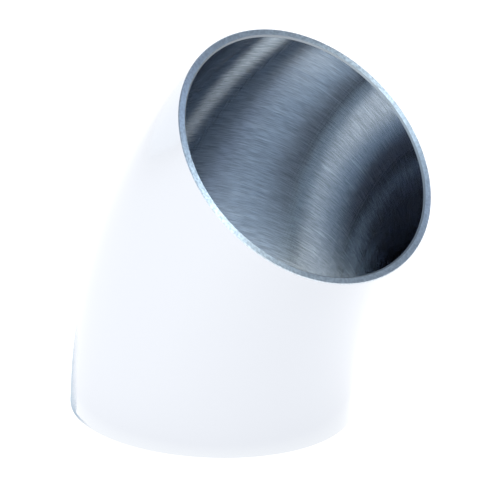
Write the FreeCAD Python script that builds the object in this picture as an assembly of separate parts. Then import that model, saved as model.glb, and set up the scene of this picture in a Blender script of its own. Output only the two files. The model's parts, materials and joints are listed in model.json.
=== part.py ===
"""A sanitary forty-five degree elbow, the plain kind that is butt welded into a line of two inch tube.

The real fitting starts as a length of thin stainless tube. It is drawn round a bend over a mandrel, both ends
are sized true and faced square, the edges are deburred, and the whole is polished inside and out. It is one
piece, so this model is one solid.

Frame: millimetres, +Z up. The origin is the centre of the lower end face, the lower end's axis is Z, and the
bend leans towards +X in the XZ plane. The fitting stands on its lower end.
"""

import FreeCAD, Part
import math
import os

from FreeCAD import Vector

# Driving dimensions, in millimetres and degrees
TUBE_DIAMETER = 50.8  # outside, two inches
WALL_THICKNESS = 1.5
BEND_RADIUS = 71.4  # of the centreline
BEND_ANGLE = 45.0
STRAIGHT_END = 2.0  # sized true and left straight at each end
INSIDE_DEBURR = 0.3  # along each side of the corner between the bore and the end face
OUTSIDE_DEBURR = 0.15  # along each side of the corner between the skin and the end face

# Worked out from the driving dimensions
TUBE_RADIUS = TUBE_DIAMETER / 2
BORE_RADIUS = TUBE_RADIUS - WALL_THICKNESS

LOWER_FACE_CENTRE = Vector(0, 0, 0)
LOWER_AXIS_IN = Vector(0, 0, 1)
BEND_START = LOWER_FACE_CENTRE + LOWER_AXIS_IN * STRAIGHT_END
BEND_PIVOT = BEND_START + Vector(BEND_RADIUS, 0, 0)
BEND_AXIS = Vector(0, 1, 0)


def turned_with_bend(vector):
    """The vector as it is once the tube has gone round the whole bend."""
    return FreeCAD.Rotation(BEND_AXIS, BEND_ANGLE).multVec(vector)


BEND_END = BEND_PIVOT + turned_with_bend(BEND_START - BEND_PIVOT)
UPPER_AXIS_OUT = turned_with_bend(LOWER_AXIS_IN)
UPPER_FACE_CENTRE = BEND_END + UPPER_AXIS_OUT * STRAIGHT_END


def swept_round(radius):
    """A solid round bar of this radius that follows the tube: straight, round the bend and straight again."""

    def disc(centre, normal):
        return Part.Face(Part.Wire(Part.makeCircle(radius, centre, normal)))

    lower_end = disc(LOWER_FACE_CENTRE, LOWER_AXIS_IN).extrude(LOWER_AXIS_IN * STRAIGHT_END)
    bend = disc(BEND_START, LOWER_AXIS_IN).revolve(BEND_PIVOT, BEND_AXIS, BEND_ANGLE)
    upper_end = disc(BEND_END, UPPER_AXIS_OUT).extrude(UPPER_AXIS_OUT * STRAIGHT_END)
    return lower_end.fuse([bend, upper_end]).removeSplitter()


def bent_tube():
    """The tube with its ends still sharp: one bar for the skin, less a thinner one for the bore."""
    return swept_round(TUBE_RADIUS).cut(swept_round(BORE_RADIUS)).Solids[0]


def end_rims(tube, radius):
    """The two full circles of this radius, one round each end face."""
    rims = []
    for edge in tube.Edges:
        if not isinstance(edge.Curve, Part.Circle) or abs(edge.Curve.Radius - radius) > 1e-6:
            continue
        for face_centre in (LOWER_FACE_CENTRE, UPPER_FACE_CENTRE):
            if (edge.Curve.Center - face_centre).Length < 1e-6:
                rims.append(edge)
    return rims


def deburred(tube):
    """The tube with the sharp corners of both end faces broken, more on the bore side than outside."""
    tube = tube.makeChamfer(INSIDE_DEBURR, end_rims(tube, BORE_RADIUS))
    return tube.makeChamfer(OUTSIDE_DEBURR, end_rims(tube, TUBE_RADIUS)).Solids[0]


def main():
    """Builds the elbow and writes its file."""
    elbow = deburred(bent_tube())
    os.makedirs("parts", exist_ok=True)
    elbow.exportStep("parts/elbow.step")

    centre_to_face = STRAIGHT_END + BEND_RADIUS * math.tan(math.radians(BEND_ANGLE / 2))
    box = elbow.optimalBoundingBox()
    print(f"elbow: valid {elbow.isValid()}, closed {elbow.isClosed()}, {len(elbow.Faces)} faces")
    print(f"volume {elbow.Volume:.1f} mm3, centre to face {centre_to_face:.2f} mm")
    print(f"box {box.XLength:.2f} x {box.YLength:.2f} x {box.ZLength:.2f} mm from z {box.ZMin:.3f}")
    print(f"upper face centre {tuple(round(value, 4) for value in UPPER_FACE_CENTRE)} mm")
    print(f"upper axis {tuple(round(value, 6) for value in UPPER_AXIS_OUT)}")


main()
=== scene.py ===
# %% [markdown]
# # A sanitary forty-five degree elbow
#
# This fitting turns a line of stainless tube through forty-five degrees. It is a single thin tube,
# drawn round a bend, faced square at both ends, deburred, polished outside and brushed round the
# bore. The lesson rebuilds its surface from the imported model's own sizes, gives each of its
# finishes a material, and sets it on a pale floor in soft light.

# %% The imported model
import json
import math

import bpy
from mathutils import Matrix, Vector


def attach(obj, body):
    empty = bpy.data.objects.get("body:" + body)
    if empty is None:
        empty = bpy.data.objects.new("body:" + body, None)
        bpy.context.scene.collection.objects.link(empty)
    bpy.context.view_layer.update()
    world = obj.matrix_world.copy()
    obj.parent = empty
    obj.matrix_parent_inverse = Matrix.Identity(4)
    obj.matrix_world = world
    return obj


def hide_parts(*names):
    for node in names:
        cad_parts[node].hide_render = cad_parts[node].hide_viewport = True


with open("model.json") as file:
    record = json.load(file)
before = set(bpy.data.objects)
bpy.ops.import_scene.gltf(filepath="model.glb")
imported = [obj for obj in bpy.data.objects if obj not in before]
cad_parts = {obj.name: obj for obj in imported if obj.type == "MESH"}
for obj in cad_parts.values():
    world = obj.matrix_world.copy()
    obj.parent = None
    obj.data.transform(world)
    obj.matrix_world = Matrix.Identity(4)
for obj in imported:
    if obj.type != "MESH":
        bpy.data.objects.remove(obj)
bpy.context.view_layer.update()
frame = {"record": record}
scene = bpy.context.scene
mounts = {mount["name"]: mount for mount in frame["record"]["mounts"]}
print("mounts:", ", ".join(mounts))

# %% [markdown]
# ## The sizes
#
# A few numbers fix the shape of the real fitting: its two radii, the short straight at each end,
# the radius and angle of the bend, and the small broken corners. They could be typed in here, but
# then a change to the solid model would leave this surface behind. So each is read from the packed
# model's mounts, which state the two radii and the place and direction of each end. A mount on the
# straight stretch of an end sits half way along it, so its place and its length together give both
# where the stretch stops and how wide the deburr is that starts it. The bend radius follows from
# how far sideways the upper end has gone.

# %% Sizes from the mounts, in metres and radians
MM_PER_METRE = 1000


def straight_and_deburr(mount):
    """Where the straight stretch at the lower end stops, and where its deburr stops."""
    middle = mount["pos_m"][2]
    half = mount["dims"]["length_mm"] / (2 * MM_PER_METRE)
    return middle + half, middle - half


TUBE_RADIUS = mounts["lower_outside"]["dims"]["r_mm"] / MM_PER_METRE
BORE_RADIUS = mounts["lower_bore"]["dims"]["r_mm"] / MM_PER_METRE
STRAIGHT_END, OUTSIDE_DEBURR = straight_and_deburr(mounts["lower_outside"])
_, INSIDE_DEBURR = straight_and_deburr(mounts["lower_bore"])
upper_face = Vector(mounts["upper_weld_face"]["pos_m"])
upper_axis = Vector(mounts["upper_weld_face"]["axis"])
BEND_ANGLE = upper_axis.angle(Vector((0, 0, 1)))
BEND_RADIUS = (upper_face.x - STRAIGHT_END * math.sin(BEND_ANGLE)) / (1 - math.cos(BEND_ANGLE))
CENTRELINE = 2 * STRAIGHT_END + BEND_RADIUS * BEND_ANGLE
print(f"tube {2 * TUBE_RADIUS * MM_PER_METRE:.2f} mm, bore {2 * BORE_RADIUS * MM_PER_METRE:.2f} mm")
print(f"bend radius {BEND_RADIUS * MM_PER_METRE:.2f} mm, angle {math.degrees(BEND_ANGLE):.1f} degrees")
print(f"centreline {CENTRELINE * MM_PER_METRE:.2f} mm")

# %% [markdown]
# ## Small helpers for node trees
#
# Each shape and finish below comes from a tree of nodes. A tree can be laid out by hand in the
# editor, or built by a script, which keeps every number readable and makes the same tree each time.
# The same few moves come up in all of them: add a node, set what it needs and link it. One helper
# does all three. It fills a node's inputs with plain values or with other nodes' outputs, so that
# each tree reads like a list of steps.


# %% Helpers for node trees
def add(tree, kind, inputs=None, **settings):
    """Adds a node, sets its properties, and fills its inputs with values or sockets."""
    node = tree.nodes.new(kind)
    for name, value in settings.items():
        setattr(node, name, value)
    for key, value in (inputs or {}).items():
        socket = node.inputs[key]
        if isinstance(value, bpy.types.NodeSocket):
            tree.links.new(value, socket)
        else:
            socket.default_value = value
    return node


def math_step(tree, operation, *values, clamp=False):
    """One Math node on one to three values or sockets, and its result."""
    inputs = dict(enumerate(values))
    return add(tree, "ShaderNodeMath", inputs, operation=operation, use_clamp=clamp).outputs[0]


def new_group(name, inputs, output):
    """A geometry node group with these named sockets, and its input and output nodes."""
    tree = bpy.data.node_groups.new(name, "GeometryNodeTree")
    for socket_name, kind in inputs:
        tree.interface.new_socket(socket_name, in_out="INPUT", socket_type=f"NodeSocket{kind}")
    tree.interface.new_socket(output[0], in_out="OUTPUT", socket_type=f"NodeSocket{output[1]}")
    return tree, tree.nodes.new("NodeGroupInput"), tree.nodes.new("NodeGroupOutput")


print("helpers:", ", ".join(helper.__name__ for helper in (add, math_step, new_group)))

# %% [markdown]
# ## The rule of the bend
#
# The real tube keeps its section round and square to its path while it is drawn round the bend:
# straight up, round the bend's pivot, and straight on. A curve with a round bevel could copy that,
# but it would give only one skin and would know nothing of the end faces. A rule serves every
# surface of the fitting alike. A point of a bent tube is known by three numbers: how far along the
# centreline its section lies, how far out from the centreline it is, and how far round. This first
# group turns those three into a place.

# %% The group that places a point of the tube
BEND_SIZES = [("Straight End", "Float"), ("Bend Radius", "Float"), ("Bend Angle", "Float")]


def bend_rule():
    """Turns distance along, radius and angle round into a place on the bent tube."""
    place = [("Along", "Float"), ("Radius", "Float"), ("Round", "Float")]
    tree, given, result = new_group("bend_rule", place + BEND_SIZES, ("Place", "Vector"))
    value = given.outputs
    past_start = math_step(tree, "SUBTRACT", value["Along"], value["Straight End"])
    turned = math_step(tree, "DIVIDE", past_start, value["Bend Radius"])
    turned = math_step(tree, "MAXIMUM", math_step(tree, "MINIMUM", turned, value["Bend Angle"]), 0.0)
    bend_length = math_step(tree, "MULTIPLY", value["Bend Radius"], value["Bend Angle"])
    before = math_step(tree, "MINIMUM", value["Along"], value["Straight End"])
    after = math_step(tree, "MAXIMUM", math_step(tree, "SUBTRACT", past_start, bend_length), 0.0)
    sine = math_step(tree, "SINE", turned)
    cosine = math_step(tree, "COSINE", turned)
    # The section has two directions of its own: towards the pivot, and across the bend
    radius, angle = value["Radius"], value["Round"]
    towards_pivot = math_step(tree, "MULTIPLY", radius, math_step(tree, "COSINE", angle))
    across = math_step(tree, "MULTIPLY", radius, math_step(tree, "SINE", angle))
    from_pivot = math_step(tree, "SUBTRACT", value["Bend Radius"], towards_pivot)
    towards_start = math_step(tree, "MULTIPLY", from_pivot, cosine)
    x = math_step(tree, "SUBTRACT", value["Bend Radius"], towards_start)
    x = math_step(tree, "MULTIPLY_ADD", after, sine, x)
    z = math_step(tree, "MULTIPLY_ADD", from_pivot, sine, before)
    z = math_step(tree, "MULTIPLY_ADD", after, cosine, z)
    joined = add(tree, "ShaderNodeCombineXYZ", {"X": x, "Y": across, "Z": z})
    tree.links.new(joined.outputs[0], result.inputs["Place"])
    return tree


BEND_RULE = bend_rule()
print("bend rule made with", len(BEND_RULE.nodes), "nodes")

# %% [markdown]
# ## From a flat grid to a strip
#
# The real surface is a few bands that run right round the tube: the skin, the end faces, the bore
# and the narrow deburrs between them. They could be cut from cylinders, cones and rings, but each
# of those would still have to be bent. A flat grid can become any of them. Its columns are taken as
# the angle round, and its rows as steps from one corner of the wall's section to the next.


# %% Where the points of a strip lie
def strip_places(tree, value):
    """The distance along, the radius and the angle round of each point of the grid."""
    position = add(tree, "GeometryNodeInputPosition").outputs[0]
    grid = add(tree, "ShaderNodeSeparateXYZ", {0: position})
    # The grid is a metre square round the origin, so adding half a metre gives shares from 0 to 1
    share = math_step(tree, "ADD", grid.outputs["Y"], 0.5)
    turn = math_step(tree, "MULTIPLY", math_step(tree, "ADD", grid.outputs["X"], 0.5), math.tau)

    def between(low, high):
        # The Mix node's numbers 2 and 3 are the two values that it mixes
        return add(tree, "ShaderNodeMix", {0: share, 2: value[low], 3: value[high]}).outputs[0]

    return between("Along From", "Along To"), between("Radius From", "Radius To"), turn


print("each point of a strip has a distance along, a radius and an angle round")

# %% [markdown]
# ## What a strip remembers
#
# A belt and a brush leave marks that follow the real tube round its bend. The finishes need two
# things from the surface for that. A UV map tells them which way is round the tube, for the
# direction in which reflections are drawn out. It could carry the marks as well, but it would show
# a seam where it meets itself. So each point also keeps the place that it has in the straight tube,
# before the bend, which has no seam.

# %% The map and the unbent place
MAP_NAME = "UVMap"
PLACE_NAME = "unbent_place"


def remember(tree, value, flat, along, radius, turn):
    """The grid with its UV map, and with the place that each point has in the straight tube."""
    unbent = add(tree, "ShaderNodeCombineXYZ", {
        "X": math_step(tree, "MULTIPLY", radius, math_step(tree, "COSINE", turn)),
        "Y": math_step(tree, "MULTIPLY", radius, math_step(tree, "SINE", turn)),
        "Z": along,
    })
    grid_map = add(tree, "ShaderNodeSeparateXYZ", {0: flat.outputs["UV Map"]})
    span = math_step(tree, "SUBTRACT", value["Map To"], value["Map From"])
    map_place = add(tree, "ShaderNodeCombineXYZ", {
        "X": grid_map.outputs["X"],
        "Y": math_step(tree, "MULTIPLY_ADD", grid_map.outputs["Y"], span, value["Map From"]),
    })
    mapped = add(tree, "GeometryNodeStoreNamedAttribute", {
        "Geometry": flat.outputs["Mesh"], "Name": MAP_NAME, "Value": map_place.outputs[0],
    }, data_type="FLOAT2", domain="CORNER")
    return add(tree, "GeometryNodeStoreNamedAttribute", {
        "Geometry": mapped.outputs[0], "Name": PLACE_NAME, "Value": unbent.outputs[0],
    }, data_type="FLOAT_VECTOR", domain="POINT").outputs[0]


print("each strip keeps", MAP_NAME, "and", PLACE_NAME)

# %% [markdown]
# ## One strip of the surface
#
# The group below makes one band of the real surface, from the grid to its finish. Eight separate
# groups could each make their own band, but they would differ only in their numbers. So there is
# one group, and its inputs say between which two corners of the wall the band runs, how finely it
# is divided and what finish it has. Each strip sets its own material, while it is still apart from
# the others.


# %% The group that makes one strip
def strip_group():
    """A grid laid round the tube between two corners of the wall's section."""
    ends = [(name, "Float") for name in ("Along From", "Along To", "Radius From", "Radius To")]
    layout = [("Map From", "Float"), ("Map To", "Float"), ("Columns", "Int"), ("Rows", "Int")]
    inputs = ends + BEND_SIZES + layout + [("Finish", "Material")]
    tree, given, result = new_group("tube_strip", inputs, ("Strip", "Geometry"))
    value = given.outputs
    flat = add(tree, "GeometryNodeMeshGrid", {
        "Size X": 1.0,
        "Size Y": 1.0,
        "Vertices X": math_step(tree, "ADD", value["Columns"], 1.0),
        "Vertices Y": math_step(tree, "ADD", value["Rows"], 1.0),
    })
    along, radius, turn = strip_places(tree, value)
    kept = remember(tree, value, flat, along, radius, turn)
    rule = add(tree, "GeometryNodeGroup", {
        "Along": along, "Radius": radius, "Round": turn,
        **{name: value[name] for name, _ in BEND_SIZES},
    }, node_tree=BEND_RULE)
    placed = add(tree, "GeometryNodeSetPosition", {"Geometry": kept, "Position": rule.outputs[0]})
    finished = add(tree, "GeometryNodeSetMaterial", {
        "Geometry": placed.outputs[0], "Material": value["Finish"],
    })
    tree.links.new(finished.outputs[0], result.inputs["Strip"])
    return tree


STRIP = strip_group()
print("strip group made with", len(STRIP.nodes), "nodes")

# %% [markdown]
# ## One metal, four finishes
#
# The real fitting is one piece of stainless steel, and what changes over it is how its surface was
# worked. Outside it is polished, the bore is brushed round and round, the end faces are turned to a
# mottled satin, and the inner corners are broken by a small cut. Pictures of metal could be wrapped
# round the tube, but a pattern that the shader works out stays sharp from any distance. So all four
# are the same metal shader, and they differ in tone, in roughness and in the way that they draw
# reflections out to one side.

# %% The metal that the finishes share
STEEL = (0.71, 0.735, 0.77, 1.0)
# The map's first direction runs round the tube, as the marks do. A quarter turn from it is across them
QUARTER_TURN = 0.25


def new_material(name, colour, roughness):
    """A material with this colour and roughness, its tree and its shader node."""
    material = bpy.data.materials.new(name)
    material.use_nodes = True
    shader = material.node_tree.nodes["Principled BSDF"]
    # A pattern that is linked to either of these later takes the place of the value set here
    shader.inputs["Base Color"].default_value = colour
    shader.inputs["Roughness"].default_value = roughness
    return material, material.node_tree, shader


def metal(name, roughness, anisotropic=0.0, colour=STEEL):
    """A metal with this roughness, which may draw its reflections out across its marks."""
    material, tree, shader = new_material(name, colour, roughness)
    shader.inputs["Metallic"].default_value = 1.0
    if anisotropic:
        shader.inputs["Anisotropic"].default_value = anisotropic
        shader.inputs["Anisotropic Rotation"].default_value = QUARTER_TURN
        tangent = add(tree, "ShaderNodeTangent", direction_type="UV_MAP", uv_map=MAP_NAME)
        tree.links.new(tangent.outputs[0], shader.inputs["Tangent"])
    return material, tree, shader


print("all finishes share a metal of colour", STEEL[:3])

# %% [markdown]
# ## Tool marks
#
# Belts and brushes leave marks on the real surface that are long one way and very fine the other.
# They could be modelled as grooves, but thousands of them would cost far more than they show. So
# they are noise, squeezed by a different scale along each direction of the straight tube. The noise
# stays near its middle value, and the helpers here stretch that middle part of it into a change of
# roughness or of tone.

# %% Patterns for the finishes
NOISE_LOW, NOISE_HIGH = 0.3, 0.7
TONE_LOW, TONE_HIGH = 0.35, 0.65


def marks(tree, scale, detail=2.0):
    """Noise stretched by a different scale along each unbent direction."""
    place = add(tree, "ShaderNodeAttribute", attribute_name=PLACE_NAME).outputs["Vector"]
    stretched = add(tree, "ShaderNodeVectorMath", {0: place, 1: scale}, operation="MULTIPLY").outputs[0]
    noise = add(tree, "ShaderNodeTexNoise", {"Vector": stretched, "Scale": 1.0, "Detail": detail})
    return noise.outputs["Fac"]


def ranged(tree, source, low, high, start=0.0, end=1.0, **settings):
    """A number that goes from start to end as the source goes from low to high, and stays there."""
    return add(tree, "ShaderNodeMapRange", {
        "Value": source, "From Min": low, "From Max": high, "To Min": start, "To Max": end,
    }, **settings).outputs[0]


def blended(tree, share, first, second):
    """A colour that goes from the first to the second as the share goes from none to all."""
    # The Mix node's inputs 6 and 7 are the two colours that it mixes, and its output 2 is the result
    mix = add(tree, "ShaderNodeMix", {"Factor": share, 6: first, 7: second}, data_type="RGBA")
    return mix.outputs[2]


def roughen(tree, shader, source, low, high):
    """Roughness that follows a pattern between two values."""
    roughness = ranged(tree, source, NOISE_LOW, NOISE_HIGH, low, high)
    tree.links.new(roughness, shader.inputs["Roughness"])


def shades(tree, source, colour, dark, bright):
    """A colour that follows a pattern between a darker and a brighter shade of itself."""
    first, second = (tuple(part * factor for part in colour[:3]) + (1.0,) for factor in (dark, bright))
    return blended(tree, ranged(tree, source, TONE_LOW, TONE_HIGH), first, second)


print(f"roughness follows the noise from {NOISE_LOW} to {NOISE_HIGH}")
print(f"tones follow the noise from {TONE_LOW} to {TONE_HIGH}")

# %% [markdown]
# ## The polished skin
#
# The outside of the real fitting is polished until the marks of the belt hardly show, so it mirrors
# the floor and the room. A shader with one even roughness would make that mirror, but it would look
# drawn. So its roughness wanders a little, in long faint streaks along the tube. A bump would make
# the streaks plainer than they are on the real polish.

# %% The polished skin
BELT_MARKS = (900.0, 900.0, 35.0)


def polished_skin():
    """Bright outside polish, with the faintest belt marks along the tube."""
    material, tree, shader = metal("polished_skin", 0.12)
    roughen(tree, shader, marks(tree, BELT_MARKS), low=0.10, high=0.15)
    return material


SKIN = polished_skin()
print(SKIN.name, "has", len(SKIN.node_tree.nodes), "nodes")

# %% [markdown]
# ## The brushed bore
#
# The inside of the real tube is bright, with fine lines brushed round it. Each line leans the metal
# a little forwards or back, which breaks a reflection into thin stripes and draws it out along the
# tube. A bump node could lean it, but it measures slopes over the width of a pixel of the picture,
# and these lines are finer. So the noise leans the surface directly, through a normal map along the
# tube. The rough bottoms of the lines give back less light than the bright metal between them, and
# here and there a longer scratch is bare and brighter.

# %% The brushed bore
BORE_STEEL = (0.64, 0.655, 0.675, 1.0)
BARE_STEEL = (0.84, 0.85, 0.87, 1.0)
LEANING_LINES = (90.0, 90.0, 9000.0)
DARK_LINES = (420.0, 420.0, 8500.0)
SCRATCHES = (190.0, 190.0, 2900.0)
SCRATCH_LOW, SCRATCH_HIGH = 0.74, 0.84
LEAN = 0.06


def brushed_bore():
    """A bright bore with fine lines round it, and a few bare scratches."""
    material, tree, shader = metal("brushed_bore", 0.09, anisotropic=1.0, colour=BORE_STEEL)
    slope = math_step(tree, "MULTIPLY_ADD", marks(tree, LEANING_LINES), LEAN, -LEAN / 2)
    # A normal map holds slopes from -1 to 1 as colours from 0 to 1, with 0.5 for no slope
    tipped = math_step(tree, "MULTIPLY_ADD", slope, 0.5, 0.5)
    leaning = add(tree, "ShaderNodeCombineXYZ", {"X": 0.5, "Y": tipped, "Z": 1.0})
    normal = add(tree, "ShaderNodeNormalMap", {"Color": leaning.outputs[0]}, uv_map=MAP_NAME)
    tree.links.new(normal.outputs[0], shader.inputs["Normal"])
    dark_lines = marks(tree, DARK_LINES, detail=1.0)
    tone = shades(tree, dark_lines, BORE_STEEL, dark=0.78, bright=1.20)
    bare = ranged(tree, marks(tree, SCRATCHES, detail=0.0), SCRATCH_LOW, SCRATCH_HIGH)
    tree.links.new(blended(tree, bare, tone, BARE_STEEL), shader.inputs["Base Color"])
    return material


BORE = brushed_bore()
print(BORE.name, "has", len(BORE.node_tree.nodes), "nodes")

# %% [markdown]
# ## The turned end faces
#
# Each end of the real fitting is faced square on a lathe, for welding, and left unpolished. From
# close by, the narrow face is satin with small lighter and darker patches. Rings cut into the mesh
# could show the tool's path, but they are finer than the picture shows. So the shader draws
# reflections out across them, and noise of the same size in every direction changes both the
# roughness and the tone.

# %% The turned end faces
FACE_STEEL = (0.655, 0.71, 0.75, 1.0)
FACE_PATCHES = (2200.0, 2200.0, 2200.0)


def turned_face():
    """The facing tool's satin, with rougher and smoother patches."""
    material, tree, shader = metal("turned_face", 0.36, anisotropic=0.6, colour=FACE_STEEL)
    patches = marks(tree, FACE_PATCHES)
    roughen(tree, shader, patches, low=0.32, high=0.40)
    tone = shades(tree, patches, FACE_STEEL, dark=0.90, bright=1.10)
    tree.links.new(tone, shader.inputs["Base Color"])
    return material


FACE = turned_face()
print(FACE.name, "has", len(FACE.node_tree.nodes), "nodes")

# %% [markdown]
# ## The inner deburrs
#
# The sharp inner corner of each real end is broken by a small slanting cut, which shows as a thin
# pale line just inside the face. A pattern couldn't be seen in a line so thin, so this finish needs
# none. The cut leans towards the lamps, and the metal of the face would shine too brightly there.
# So the finish is a darker tone of the shared metal, and rougher than the others.

# %% The inner deburrs
DEBURR_STEEL = (0.31, 0.34, 0.37, 1.0)
DEBURR, _, _ = metal("burnished_deburr", 0.50, colour=DEBURR_STEEL)
print("finishes:", [material.name for material in (SKIN, BORE, FACE, DEBURR)])

# %% [markdown]
# ## The loop of corners
#
# Cut through, the real wall is a thin rectangle with four broken corners: up the skin, over the
# upper end, down the bore and back under the lower end. The shape could be given as eight surfaces,
# but then each corner would be stated twice. A closed loop states it once, and the stretch from
# each corner to the next is one strip. Each row below gives how far along the centreline a corner
# lies, its radius, and the finish and rows of the strip that starts there. The outside corners are
# so narrow that they take the finish of what they run into: the end face's above, and the skin's
# below.

# %% The loop of corners
COLUMNS = 256
LONG_ROWS = 96
FACE_ROWS = 3
DEBURR_ROWS = 1
TOP = CENTRELINE
CORNERS = [
    (OUTSIDE_DEBURR, TUBE_RADIUS, SKIN, LONG_ROWS),
    (TOP - OUTSIDE_DEBURR, TUBE_RADIUS, FACE, DEBURR_ROWS),
    (TOP, TUBE_RADIUS - OUTSIDE_DEBURR, FACE, FACE_ROWS),
    (TOP, BORE_RADIUS + INSIDE_DEBURR, DEBURR, DEBURR_ROWS),
    (TOP - INSIDE_DEBURR, BORE_RADIUS, BORE, LONG_ROWS),
    (INSIDE_DEBURR, BORE_RADIUS, DEBURR, DEBURR_ROWS),
    (0.0, BORE_RADIUS + INSIDE_DEBURR, FACE, FACE_ROWS),
    (0.0, TUBE_RADIUS - OUTSIDE_DEBURR, SKIN, DEBURR_ROWS),
]


def loop_shares(corners):
    """How far round the loop each corner lies, as a share of the whole."""
    reached = [0.0]
    for index, (along, radius, _, _) in enumerate(corners):
        next_along, next_radius, _, _ = corners[(index + 1) % len(corners)]
        reached.append(reached[-1] + math.hypot(next_along - along, next_radius - radius))
    return [distance / reached[-1] for distance in reached]


corner_shares = loop_shares(CORNERS)
print("corners at these shares of the loop:", [round(share, 4) for share in corner_shares])

# %% [markdown]
# ## The whole elbow
#
# The real elbow is one closed piece of metal, with no gap between its bands. The strips could stay
# separate objects, but then nothing would hold their edges together, and the fitting would count as
# eight pieces. So one tree makes all eight, joins them and welds the points that meet. Shading runs
# smoothly over the gentle edges between a strip's rows, and stays crisp where two strips meet at an
# angle. The last node makes instances real, because the export drops those that aren't.

# %% The elbow's tree
WELD_DISTANCE = 1e-6
CRISP_ANGLE = math.radians(30)


def elbow_tree():
    """Joins the strips into one closed surface."""
    sizes = BEND_SIZES + [("Columns", "Int")]
    tree, given, result = new_group("bent_tube", sizes, ("Geometry", "Geometry"))
    joined = add(tree, "GeometryNodeJoinGeometry")
    for index, (along, radius, finish, rows) in enumerate(CORNERS):
        next_along, next_radius, _, _ = CORNERS[(index + 1) % len(CORNERS)]
        strip = add(tree, "GeometryNodeGroup", {
            "Along From": along, "Along To": next_along,
            "Radius From": radius, "Radius To": next_radius,
            "Map From": corner_shares[index], "Map To": corner_shares[index + 1],
            "Rows": rows, "Finish": finish,
            **{name: given.outputs[name] for name, _ in sizes},
        }, node_tree=STRIP)
        tree.links.new(strip.outputs[0], joined.inputs[0])
    welded = add(tree, "GeometryNodeMergeByDistance", {
        "Geometry": joined.outputs[0], "Distance": WELD_DISTANCE,
    })
    angle = add(tree, "GeometryNodeInputMeshEdgeAngle").outputs["Unsigned Angle"]
    gentle = add(tree, "FunctionNodeCompare", {0: angle, 1: CRISP_ANGLE}, operation="LESS_THAN")
    smooth = add(tree, "GeometryNodeSetShadeSmooth", {
        "Geometry": welded.outputs[0], "Shade Smooth": gentle.outputs[0],
    }, domain="EDGE")
    real = add(tree, "GeometryNodeRealizeInstances", {"Geometry": smooth.outputs[0]})
    tree.links.new(real.outputs[0], result.inputs["Geometry"])
    return tree


ELBOW_TREE = elbow_tree()
print("the elbow's tree has", len(ELBOW_TREE.nodes), "nodes")

# %% [markdown]
# ## From tree to mesh
#
# A finished piece is kept as a plain mesh, in which nothing changes any more. A live modifier would
# work in this scene, but it would be worked out again by every tool that opens it. So a tree runs
# once, as a modifier on an empty mesh, and its result takes that mesh's place. This helper does
# that for any tree whose inputs are given by name.


# %% A tree's result as a plain mesh
def new_object(name, data):
    """A new object in the scene."""
    thing = bpy.data.objects.new(name, data)
    scene.collection.objects.link(thing)
    return thing


def plain_mesh(name, tree, values):
    """Runs a tree with these inputs and returns an object that holds its result as a plain mesh."""
    thing = new_object(name, bpy.data.meshes.new(name))
    modifier = thing.modifiers.new(name, "NODES")
    modifier.node_group = tree
    # A modifier knows its inputs by their identifiers, and not by their names
    sockets = [item for item in tree.interface.items_tree if item.in_out == "INPUT"]
    for socket in sockets:
        modifier[socket.identifier] = values[socket.name]
    seen = bpy.context.evaluated_depsgraph_get()
    result = bpy.data.meshes.new_from_object(thing.evaluated_get(seen), depsgraph=seen)
    thing.modifiers.clear()
    thing.data = result
    result.name = name
    # A grid starts with one empty material slot, which no face of the strips uses
    while result.materials and result.materials[0] is None:
        result.materials.pop(index=0)
    return thing


print("a tree's result can be kept by", plain_mesh.__name__)

# %% [markdown]
# ## The elbow in its place
#
# The real fitting is one piece of metal that moves as one. Its surface could be parted by finish,
# but the finishes are only ways of working the same metal. So the whole surface is one object. It
# stands for the solid model's one node, rides on its one body, and stays at the origin, because its
# place is in its mesh.

# %% The elbow
elbow = plain_mesh("polished_elbow", ELBOW_TREE, {
    "Straight End": STRAIGHT_END,
    "Bend Radius": BEND_RADIUS,
    "Bend Angle": BEND_ANGLE,
    "Columns": COLUMNS,
})
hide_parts("elbow")
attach(elbow, "root")
finish_numbers = [face.material_index for face in elbow.data.polygons]
for number, material in enumerate(elbow.data.materials):
    print(material.name, finish_numbers.count(number), "faces")

# %% [markdown]
# ## The floor's paint
#
# The real surface under the fitting is matt and almost white, and polished metal shows mostly what
# it reflects, so this paint is what makes the skin pale. One flat colour would do for nearly all of
# it. But the foot of the real skin mirrors only the floor next to it and fades out there. The light
# that the metal throws on the floor round the foot is left out of the render, so the paint is a
# little paler in a narrow ring there: painted light that stands in for it. A ring of its own, as a
# separate piece, would show a hard edge. In the paint it fades.

# %% The floor's paint
FLOOR_TONE = (0.90, 0.90, 0.918, 1.0)
# The ring round the foot is painted light, standing in for the light that the metal throws on the floor
# there
PAINTED_LIGHT_TONE = (1.0, 1.0, 1.0, 1.0)
RING_WIDTH = 0.006


def matt_paint(name, colour):
    """A paint with no gloss at all, its tree and its shader node."""
    material, tree, shader = new_material(name, colour, roughness=0.9)
    shader.inputs["Specular IOR Level"].default_value = 0.0
    return material, tree, shader


def vector_number(tree, operation, *values):
    """One Vector Math node whose result is a number, such as a length."""
    inputs = dict(enumerate(values))
    return add(tree, "ShaderNodeVectorMath", inputs, operation=operation).outputs["Value"]


def paint_with_painted_light(name):
    """The floor's paint, with a ring of painted light round the foot of the fitting."""
    material, tree, shader = matt_paint(name, FLOOR_TONE)
    distance = vector_number(tree, "LENGTH", add(tree, "ShaderNodeTexCoord").outputs["Object"])
    # Painted light: the paint is paler at the foot and fades to the floor's tone over the ring's width
    outside = ranged(tree, distance, TUBE_RADIUS, TUBE_RADIUS + RING_WIDTH)
    tree.links.new(blended(tree, outside, PAINTED_LIGHT_TONE, FLOOR_TONE), shader.inputs["Base Color"])
    return material


pale, _, _ = matt_paint("pale_floor", FLOOR_TONE)
floor_paint_with_painted_light = paint_with_painted_light("pale_floor_with_ring")
print(f"the ring in {floor_paint_with_painted_light.name} is {RING_WIDTH * MM_PER_METRE:.0f} mm wide")

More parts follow.
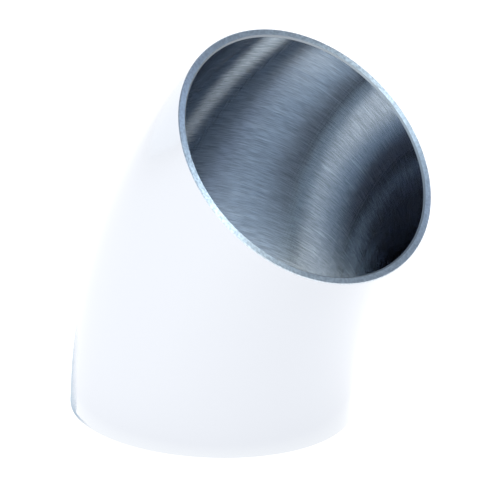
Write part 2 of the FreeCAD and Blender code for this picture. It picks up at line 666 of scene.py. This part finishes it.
# %% [markdown]
# ## The floor
#
# The real fitting stands on its lower end, on a surface that shows no edge and no shadow. A curved
# paper backdrop would do that in a studio. Here the world behind is as white as the lit floor, so
# one flat piece is enough, more than ten times as wide as the picture. It is part of the set and
# not of the fitting.

# %% The floor
FLOOR_HALF = 0.6


def flat_piece(name, outline, height, material):
    """A flat piece of the set with this outline."""
    mesh = bpy.data.meshes.new(name)
    mesh.from_pydata([(x, y, height) for x, y in outline], [], [range(len(outline))])
    mesh.materials.append(material)
    piece = new_object(name, mesh)
    return piece


square = [(FLOOR_HALF * x, FLOOR_HALF * y) for x, y in ((-1, -1), (1, -1), (1, 1), (-1, 1))]
open_floor = flat_piece("floor", square, 0.0, floor_paint_with_painted_light)
print(f"the floor is {open_floor.dimensions.x:.1f} m square")

# %% [markdown]
# ## The floor inside the bore
#
# The bore of the real fitting is a mirror, and much of what it shows is the patch of floor inside
# its lower end, seen after one, two or three reflections. The lamps that shine into the mouth have
# to light that patch. On the open floor they would throw a hard shadow, which the real floor
# doesn't have. Hiding the shadow in a material would look wrong from every other side, and in
# Blender a lamp is linked to whole objects. So the patch is a thin disc of its own. It lies on the
# floor within the opening that the deburr leaves, and clears the metal.

# %% The floor inside the bore
DISC_CORNERS = 96
DISC_HEIGHT = 0.00005
INTO_THE_DEBURR = 0.0002


def arc(radius, angles):
    """Points on a circle round the fitting's foot, at these angles in radians."""
    return [(radius * math.cos(angle), radius * math.sin(angle)) for angle in angles]


all_round = [math.tau * index / DISC_CORNERS for index in range(DISC_CORNERS)]
disc = arc(BORE_RADIUS + INTO_THE_DEBURR, all_round)
inner_floor = flat_piece("floor_in_the_bore", disc, DISC_HEIGHT, pale)
print(f"the disc inside the bore is {inner_floor.dimensions.x * MM_PER_METRE:.1f} mm across")

# %% [markdown]
# ## The room
#
# The real metal mirrors something pale all round it and something darker overhead, and what they
# were isn't known. Walls and a roof could be built, but a world whose colour follows the direction
# of each ray is simpler, and has no corners to show up in the skin. It gives plain white to the
# camera and a faint even light to the paint. To the metal it gives white walls under a dark roof.
# The roof starts softly, and higher on the side away from the mouth, so that the back of the skin
# shows it only as a soft grey patch near the top.

# %% The room
BACKDROP_TONE = (1.2, 1.2, 1.2, 1.0)
EVEN_TONE = (0.97, 0.985, 1.0, 1.0)
EVEN_LIGHT = 0.14
WALL_TONE = (1.20, 1.22, 1.26, 1.0)
ROOF_TONE = (0.16, 0.20, 0.26, 1.0)
# A ray's direction runs from -1 to 1 along X, towards the mouth's side, and along Z, upwards
BEHIND, AHEAD = -0.3, 0.2
# The roof's start comes down from the first height to the second as the ray turns from behind to ahead
ROOF_START_BEHIND, ROOF_START_AHEAD = 0.40, 0.0
# How far above the roof's start the walls' tone stops, and how far above it the roof's tone is full
WALL_STOPS, ROOF_IS_FULL = -0.02, 0.40


def room():
    """White for the camera, faint even light for paint, and walls and a roof for metal."""
    world = bpy.data.worlds.new("room")
    world.use_nodes = True
    world.cycles.sampling_method = "NONE"
    tree = world.node_tree
    tree.nodes.clear()
    direction = add(tree, "ShaderNodeTexCoord").outputs["Generated"]
    split = add(tree, "ShaderNodeSeparateXYZ", {0: direction})
    sideways = split.outputs["X"]
    roof_start = ranged(tree, sideways, BEHIND, AHEAD, ROOF_START_BEHIND, ROOF_START_AHEAD)
    above = math_step(tree, "SUBTRACT", split.outputs["Z"], roof_start)
    tone = blended(tree, ranged(tree, above, WALL_STOPS, ROOF_IS_FULL), WALL_TONE, ROOF_TONE)
    rays = add(tree, "ShaderNodeLightPath").outputs
    mirrored = add(tree, "ShaderNodeBackground", {"Color": tone}).outputs[0]
    even = add(tree, "ShaderNodeBackground", {"Color": EVEN_TONE, "Strength": EVEN_LIGHT}).outputs[0]
    white = add(tree, "ShaderNodeBackground", {"Color": BACKDROP_TONE}).outputs[0]
    light = add(tree, "ShaderNodeMixShader", {0: rays["Is Glossy Ray"], 1: even, 2: mirrored})
    shown = add(tree, "ShaderNodeMixShader", {0: rays["Is Camera Ray"], 1: light.outputs[0], 2: white})
    add(tree, "ShaderNodeOutputWorld", {"Surface": shown.outputs[0]})
    return world


scene.world = room()
print("the room's tree has", len(scene.world.node_tree.nodes), "nodes")

# %% [markdown]
# ## A soft square lamp
#
# A studio lights real bright metal with soft boxes, because the metal shows each lamp as a shape
# and not as a point. A glowing plane could be such a box, but an area lamp gives fewer specks and
# can be linked to the objects that it lights. This helper places one by its direction from what it
# lights, and takes the brightness of its face, because that is what a mirror shows. The lamp's
# power follows from its area.


# %% A soft square lamp
def towards(azimuth, elevation):
    """The direction from the fitting to something at this azimuth and elevation, in degrees."""
    turn, rise = math.radians(azimuth), math.radians(elevation)
    return Vector((math.sin(turn) * math.cos(rise), -math.cos(turn) * math.cos(rise), math.sin(rise)))


def square_lamp(name, aim, azimuth, elevation, distance, side, colour):
    """A square lamp that faces the point it is aimed at, as bright as this colour."""
    data = bpy.data.lights.new(name, "AREA")
    data.shape = "SQUARE"
    data.size = side
    brightest = max(colour)
    # A lamp's power in watts is its brightness, times its area, times pi
    data.energy = math.pi * side * side * brightest
    data.color = [part / brightest for part in colour]
    away = towards(azimuth, elevation)
    lamp = new_object(name, data)
    lamp.location = aim + away * distance
    lamp.rotation_euler = away.to_track_quat("Z", "Y").to_euler()
    lamp.visible_camera = False
    return lamp


print("azimuth 90 lies towards", [round(part, 2) for part in towards(90.0, 0.0)])

# %% [markdown]
# ## Light into the mouth
#
# The bright bands in the real bore look like small lights, seen in a brushed mirror that draws them
# out along the tube. One large soft lamp would be the usual studio light, but it would fill the
# bore and wash the bands out. So four small square lamps stand on the side that the mouth leans
# towards. Each row below gives a lamp's azimuth and elevation in degrees, seen from the mouth, and
# how bright its face is in red, green and blue. The values were fitted, lamp by lamp, until the
# bands fell where the photograph has them. The lamps are linked to the fitting and the disc alone,
# so that they leave no mark on the open floor.

# %% The lamps that shine into the mouth
MOUTH_LAMP_DISTANCE = 1.0
MOUTH_LAMP_SIDE = 0.09
MOUTH_LAMPS = [
    ("main_lamp", 80.0, 47.0, (365, 372, 350)),
    ("side_lamp", 90.0, 51.0, (114, 160, 198)),
    ("front_lamp", 70.0, 60.0, (31, 48, 74)),
    ("high_lamp", 142.0, 73.0, (15, 21, 37)),
]

lit_through_the_mouth = bpy.data.collections.new("lit_by_the_mouth_lamps")
lit_through_the_mouth.objects.link(elbow)
lit_through_the_mouth.objects.link(inner_floor)
for name, azimuth, elevation, colour in MOUTH_LAMPS:
    lamp = square_lamp(name, upper_face, azimuth, elevation, MOUTH_LAMP_DISTANCE, MOUTH_LAMP_SIDE,
                       colour)
    lamp.light_linking.receiver_collection = lit_through_the_mouth
    print(f"{name} has {lamp.data.energy:.2f} watts")

# %% [markdown]
# ## Even light on the floor
#
# The real floor is white right up to the fitting, as it is in a light tent. A tent could be built
# here from large lamps all round, but the fitting would mirror each of them. One wide lamp overhead
# is enough. It lights the open floor alone, no mirror shows it, and the fitting doesn't block it,
# so it casts no shadow.

# %% The floor lamp
FLOOR_LAMP_HEIGHT = 1.5
FLOOR_LAMP_SIDE = 2.0
FLOOR_LAMP_COLOUR = (3.6, 3.6, 3.6)
STRAIGHT_UP = 90.0
only_floor = bpy.data.collections.new("lit_by_the_floor_lamp")
only_floor.objects.link(open_floor)
floor_lamp = square_lamp("floor_lamp", Vector((0, 0, 0)), 0.0, STRAIGHT_UP, FLOOR_LAMP_HEIGHT,
                         FLOOR_LAMP_SIDE, FLOOR_LAMP_COLOUR)
floor_lamp.visible_glossy = False
floor_lamp.light_linking.receiver_collection = only_floor
floor_lamp.light_linking.blocker_collection = only_floor
print(f"{floor_lamp.name} has {floor_lamp.data.energy:.2f} watts")

# %% [markdown]
# ## The card with a painted shadow
#
# The real skin shows a blue-grey streak along its lower left edge, where it mirrors something
# darker than the floor. Painted on the metal, the streak would stay in place when the view moves,
# as no reflection does. So a small grey card lies on the floor beside the foot, and only mirrors
# show it. Its paint is a painted soft shadow, as if the fitting cast one there. It fades out away
# from the foot and towards both its ends, so that the streak has no hard edge.

# %% The card's paint
# The grey of a painted soft shadow on the floor, which the skin mirrors as its streak
PAINTED_SHADOW_TONE = (0.36, 0.46, 0.56, 1.0)
# A point at the fitting's foot, the way back along the card from there, and the way out to its left
EDGE = Vector((-0.0170, -0.0189, 0.0))
BACK = Vector((-0.744, 0.668, 0.0))
LEFT = Vector((-0.668, -0.744, 0.0))
# To the left, the card fades out from this far inside that point, over a width that grows backwards
FADE_INSET = 0.001
FADE_WIDTH = 0.007
FADE_WIDENS = 0.5
LEAST_WIDTH = 0.001
# Along the card, it fades in and out between these distances from that point
FRONT_FADE = (-0.015, -0.006)
BACK_FADE = (0.012, 0.058)


def painted_shadow_paint():
    """A blue-grey painted shadow that fades out to the left and towards both ends."""
    material, tree, shader = matt_paint("grey_card", PAINTED_SHADOW_TONE)
    place = add(tree, "ShaderNodeTexCoord").outputs["Object"]
    place = add(tree, "ShaderNodeVectorMath", {0: place, 1: EDGE}, operation="SUBTRACT").outputs[0]
    along = vector_number(tree, "DOT_PRODUCT", place, BACK)
    aside = vector_number(tree, "DOT_PRODUCT", place, LEFT)
    width = math_step(tree, "MULTIPLY_ADD", along, FADE_WIDENS, FADE_WIDTH)
    width = math_step(tree, "MAXIMUM", width, LEAST_WIDTH)
    share_out = math_step(tree, "DIVIDE", math_step(tree, "ADD", aside, FADE_INSET), width)
    near = math_step(tree, "SUBTRACT", 1.0, share_out, clamp=True)
    not_back = ranged(tree, along, *BACK_FADE, 1.0, 0.0, interpolation_type="SMOOTHSTEP")
    not_front = ranged(tree, along, *FRONT_FADE, interpolation_type="SMOOTHSTEP")
    cover = math_step(tree, "MULTIPLY", near, not_back)
    cover = math_step(tree, "MULTIPLY", cover, not_front, clamp=True)
    tree.links.new(cover, shader.inputs["Alpha"])
    return material


painted_shadow_finish = painted_shadow_paint()
print(painted_shadow_finish.name, "has", len(painted_shadow_finish.node_tree.nodes), "nodes")

# %% [markdown]
# ## The card's shape
#
# The photograph shows only the streak, and not what the skin mirrors there. So the card is only as
# large as the streak needs. A plain rectangle would reach under the fitting. So the card's right
# side follows the foot, just outside the skin. In front it is a strip half a millimetre wide
# between two arcs, and behind it widens to four corners. It lies a tenth of a millimetre above the
# floor, so that the two don't mix, and it shares the floor's lamp.

# %% The card
CARD_HEIGHT = 0.0001
# Each arc has a radius and its angles in degrees
OUTER_ARC = (0.0260, range(243, 265, 3))
INNER_ARC = (0.0255, range(264, 227, -3))
# How far back and how far left of the point at the foot each of the other corners lies
FAR_CORNERS = [(0.058, 0.0), (0.056, 0.014), (0.026, 0.018), (0.008, 0.011)]

beside = []
for radius, degrees in (OUTER_ARC, INNER_ARC):
    beside += arc(radius, [math.radians(angle) for angle in degrees])
behind = [(EDGE + BACK * back + LEFT * left).xy[:] for back, left in FAR_CORNERS]
# The card carries a painted shadow and is seen only in mirrors
shadow_card = flat_piece("edge_card", beside + behind, CARD_HEIGHT, painted_shadow_finish)
shadow_card.visible_camera = False
shadow_card.visible_diffuse = False
shadow_card.visible_shadow = False
only_floor.objects.link(shadow_card)
print("the card has", len(shadow_card.data.vertices), "corners")

# %% [markdown]
# ## The camera
#
# The photograph was taken from well away with a long lens, and the two ends of the fitting show
# almost no perspective. A camera without any would come close, but the little that there is shows
# in the ellipses of the rims. So the camera has a long lens too, and stands almost a metre away. It
# looks down at a little under twenty degrees, from half way round to the side that the mouth leans
# towards, and is turned a little about its own line of sight.

# %% The camera
CAMERA_AZIMUTH = 48.113
CAMERA_ELEVATION = 19.435
CAMERA_DISTANCE = 0.93665
CAMERA_ROLL = 2.445
LENS_MM = 380.96
SENSOR_MM = 36.0
NEAREST, FURTHEST = 0.01, 20.0
AIM = Vector((0.0089, -0.0002, 0.0325))


def long_lens():
    """A long lens at the photograph's viewing angle."""
    data = bpy.data.cameras.new("camera")
    data.lens = LENS_MM
    data.sensor_width = SENSOR_MM
    data.clip_start, data.clip_end = NEAREST, FURTHEST
    back = towards(CAMERA_AZIMUTH, CAMERA_ELEVATION)
    place = Matrix.Translation(AIM + back * CAMERA_DISTANCE)
    level = back.to_track_quat("Z", "Y").to_matrix().to_4x4()
    roll = Matrix.Rotation(math.radians(CAMERA_ROLL), 4, "Z")
    thing = new_object("camera", data)
    thing.matrix_world = place @ level @ roll
    return thing


scene.camera = long_lens()
print(f"the camera is {CAMERA_DISTANCE:.3f} m from the point that it looks at")
print(f"its azimuth is {CAMERA_AZIMUTH:.1f} and its elevation {CAMERA_ELEVATION:.1f} degrees")

# %% [markdown]
# ## How light is followed
#
# Light that goes in at the real mouth comes out again after many reflections, each a little weaker
# than the one before. A renderer usually stops after a few and blurs some of them, which is
# quicker, but it would leave the depth of the bore black and its lines soft. So many bounces are
# followed and none is blurred. Light that the metal throws on paint is left out, because it comes
# out as specks. Colours go to the picture as they are, with no film curve, so that the white floor
# stays white.

# %% The renderer's care with reflections
BOUNCES = 24
scene.view_settings.view_transform = "Standard"
scene.cycles.blur_glossy = 0.0
scene.cycles.caustics_reflective = False
scene.cycles.max_bounces = BOUNCES
scene.cycles.glossy_bounces = BOUNCES
print("light is followed for", BOUNCES, "bounces")
